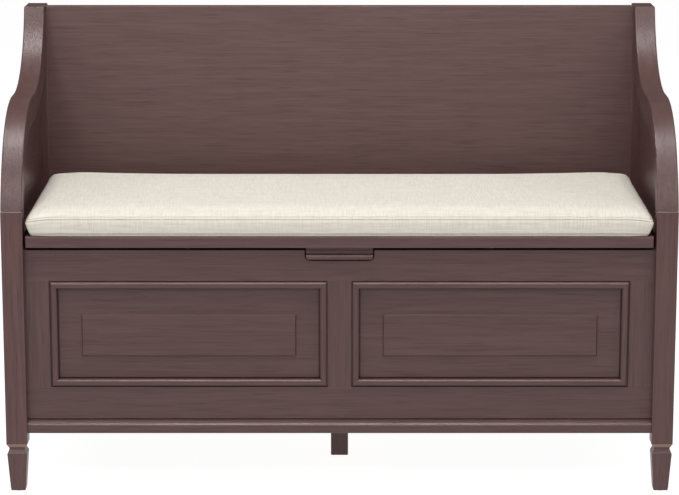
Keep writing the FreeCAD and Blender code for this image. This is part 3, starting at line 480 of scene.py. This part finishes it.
flax = linen("slub_linen")
unit, cushion_faces = lattice_shell((170, 60, 6))
cushion = mesh_piece("linen_cushion", sewn_blank(unit), cushion_faces, flax)
cloth_mesh = cushion.data
rest_places = points_of(cloth_mesh)
puffed = rest_places.copy()
fill_steps = 20
furthest = 0.0040
sewn = np.abs(np.abs(unit[:, 2]) - 1) < 1e-6
rim = np.maximum(np.abs(unit[:, 0]), np.abs(unit[:, 1])) > 0.999
held = cushion.vertex_groups.new(name="seams")
held.add(np.flatnonzero(sewn & rim).tolist(), 1.0, "REPLACE")
cloth = cushion.modifiers.new("inflate", "CLOTH")
cloth.settings.quality = 5
cloth.settings.mass = 0.25
cloth.settings.tension_stiffness = 15
cloth.settings.compression_stiffness = 15
cloth.settings.shear_stiffness = 6
cloth.settings.bending_stiffness = 0.4
cloth.settings.vertex_group_mass = "seams"
cloth.settings.use_pressure = True
cloth.settings.uniform_pressure_force = 4.0
cloth.settings.effector_weights.gravity = 0.0
cloth.point_cache.frame_start = 1
cloth.point_cache.frame_end = fill_steps
for step in range(1, fill_steps + 1):
    bpy.context.scene.frame_set(step)
blown = cushion.evaluated_get(bpy.context.evaluated_depsgraph_get())
moved = points_of(blown.data) - rest_places
cushion.modifiers.clear()
bpy.context.scene.frame_set(1)
reach = np.linalg.norm(moved, axis=1, keepdims=True)
eased = furthest * np.tanh(reach / furthest) / np.maximum(reach, 1e-9)
puffed = rest_places + moved * eased
cloth_mesh.vertices.foreach_set("co", puffed.ravel())
cloth_mesh.update()
finer = cushion.modifiers.new("finer", "SUBSURF")
finer.levels = 1
finer.render_levels = 1
bpy.context.view_layer.update()
smoothed = bpy.data.meshes.new_from_object(
    cushion.evaluated_get(bpy.context.evaluated_depsgraph_get()))
cushion.modifiers.clear()
cushion.data = smoothed

# The filled cover's places are kept as an attribute, which seams and weave are drawn by.
sewn_places = points_of(smoothed)
lay = smoothed.attributes.new("lay", "FLOAT_VECTOR", "POINT")
lay.data.foreach_set("vector", sewn_places.ravel())

# Each corner is pinched in and down, more below the seam than above it, and the top
# ripples a little along its front and back seams.
corner_reach = 0.022
shaped = sewn_places.copy()
out_x = np.sign(shaped[:, 0] - middle[0])
out_y = np.sign(shaped[:, 1] - middle[1])
from_x = half[0] - np.abs(sewn_places[:, 0] - middle[0])
from_y = half[1] - np.abs(sewn_places[:, 1] - middle[1])
at_corner = np.exp(-(np.maximum(from_x, 0) ** 2 + np.maximum(from_y, 0) ** 2)
                   / corner_reach ** 2)
rise = sewn_places[:, 2] - slab_low[2]
high_part = np.clip(rise / top_seam_rise, 0, 1)
low_part = 1 - high_part
shaped[:, 0] += out_x * at_corner * (0.0012 - 0.0095 * low_part)
shaped[:, 1] += out_y * at_corner * (0.0008 - 0.0030 * low_part)
shaped[:, 2] -= at_corner * high_part * (0.0022 - 0.0020 * out_y)
ripple = np.sin(shaped[:, 0] * 2 * math.pi / 0.031 + 1.3 * np.sin(shaped[:, 0] * 41.0))
ripple *= np.sin(shaped[:, 0] * 17.0 + 0.7) * 0.5 + 0.5
near_seam = np.exp(-np.maximum(from_y, 0) / 0.012)
shaped[:, 2] += 0.00045 * ripple * near_seam * (rise > top_seam_rise)
shaped[:, 2] = np.maximum(shaped[:, 2], slab_low[2] + 0.0002)
smoothed.vertices.foreach_set("co", shaped.ravel())
smoothed.polygons.foreach_set("use_smooth", np.full(len(smoothed.polygons), True))
smoothed.update()
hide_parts("seat_cushion")
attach(cushion, "lid")

# ---------------------------------------------------------------- hook and loop strips
# Six woven strips hold the cushion: stiff hooks glued on the lid, soft loops sewn under
# the cushion. Both are pale nylon tape.
finish_with(moulded("hook_tape", (0.62, 0.58, 0.50), 0.85),
            "cushion_hook_strips", "cushion_loop_strips")

# ---------------------------------------------------------------- floor, lights and camera
# A plain white floor runs out behind the bench. Two soft key lights stand beside the
# camera, the left one stronger, a wide one hangs overhead, and two weak ones fill the sides.
floor_material = bpy.data.materials.new("white_floor")
floor_material.use_nodes = True
floor_surface = floor_material.node_tree.nodes["Principled BSDF"]
floor_surface.inputs["Base Color"].default_value = (0.20, 0.20, 0.20, 1.0)
floor_surface.inputs["Roughness"].default_value = 1.0
floor_surface.inputs["Specular IOR Level"].default_value = 0.0
floor_surface.inputs["Emission Color"].default_value = (1.0, 1.0, 1.0, 1.0)
floor_surface.inputs["Emission Strength"].default_value = 0.96
floor_corners = np.array([[-30.0, -30.0, 0.0], [30.0, -30.0, 0.0],
                          [30.0, 40.0, 0.0], [-30.0, 40.0, 0.0]])
floor = mesh_piece("studio_floor", floor_corners, np.array([[0, 1, 2, 3]]), floor_material)


def softbox(name, place, aim, size, power):
    """White rectangular light at a place, turned to face its aim."""
    lamp = bpy.data.lights.new(name, "AREA")
    lamp.shape = "RECTANGLE"
    lamp.size, lamp.size_y = size
    lamp.energy = power
    made = bpy.data.objects.new(name, lamp)
    bpy.context.scene.collection.objects.link(made)
    way = np.array(aim, float) - np.array(place, float)
    made.location = place
    made.rotation_euler = (math.atan2(math.hypot(way[0], way[1]), -way[2]), 0.0,
                           math.atan2(way[1], way[0]) - math.pi / 2)


softbox("left_key", (-1.5, -3.2, 2.5), (0.0, 0.0, 0.45), (0.9, 0.7), 46.0)
softbox("right_key", (1.5, -3.2, 2.5), (0.0, 0.0, 0.45), (0.9, 0.7), 28.0)
softbox("overhead_softbox", (-0.1, -0.75, 2.9), (0.0, -0.3, 0.4), (1.8, 1.0), 92.0)
softbox("left_softbox", (-2.2, -1.3, 1.75), (0.3, 0.1, 0.5), (0.6, 0.8), 12.0)
softbox("right_softbox", (2.2, -1.3, 1.75), (-0.3, 0.1, 0.5), (0.6, 0.8), 12.0)
surround = bpy.data.worlds.new("studio")
surround.use_nodes = True
surround.node_tree.nodes["Background"].inputs["Color"].default_value = (1.0, 1.0, 1.0, 1.0)
surround.node_tree.nodes["Background"].inputs["Strength"].default_value = 0.10
bpy.context.scene.world = surround
bpy.context.scene.view_settings.view_transform = "Standard"

eye = bpy.data.cameras.new("camera")
eye.sensor_fit = "HORIZONTAL"
eye.sensor_width = 36.0
eye.lens = 138.3
camera = bpy.data.objects.new("camera", eye)
camera.location = (0.0, -4.406, 1.308)
camera.rotation_euler = (math.radians(90.0 - 12.02), 0.0, 0.0)
bpy.context.scene.collection.objects.link(camera)
bpy.context.scene.camera = camera
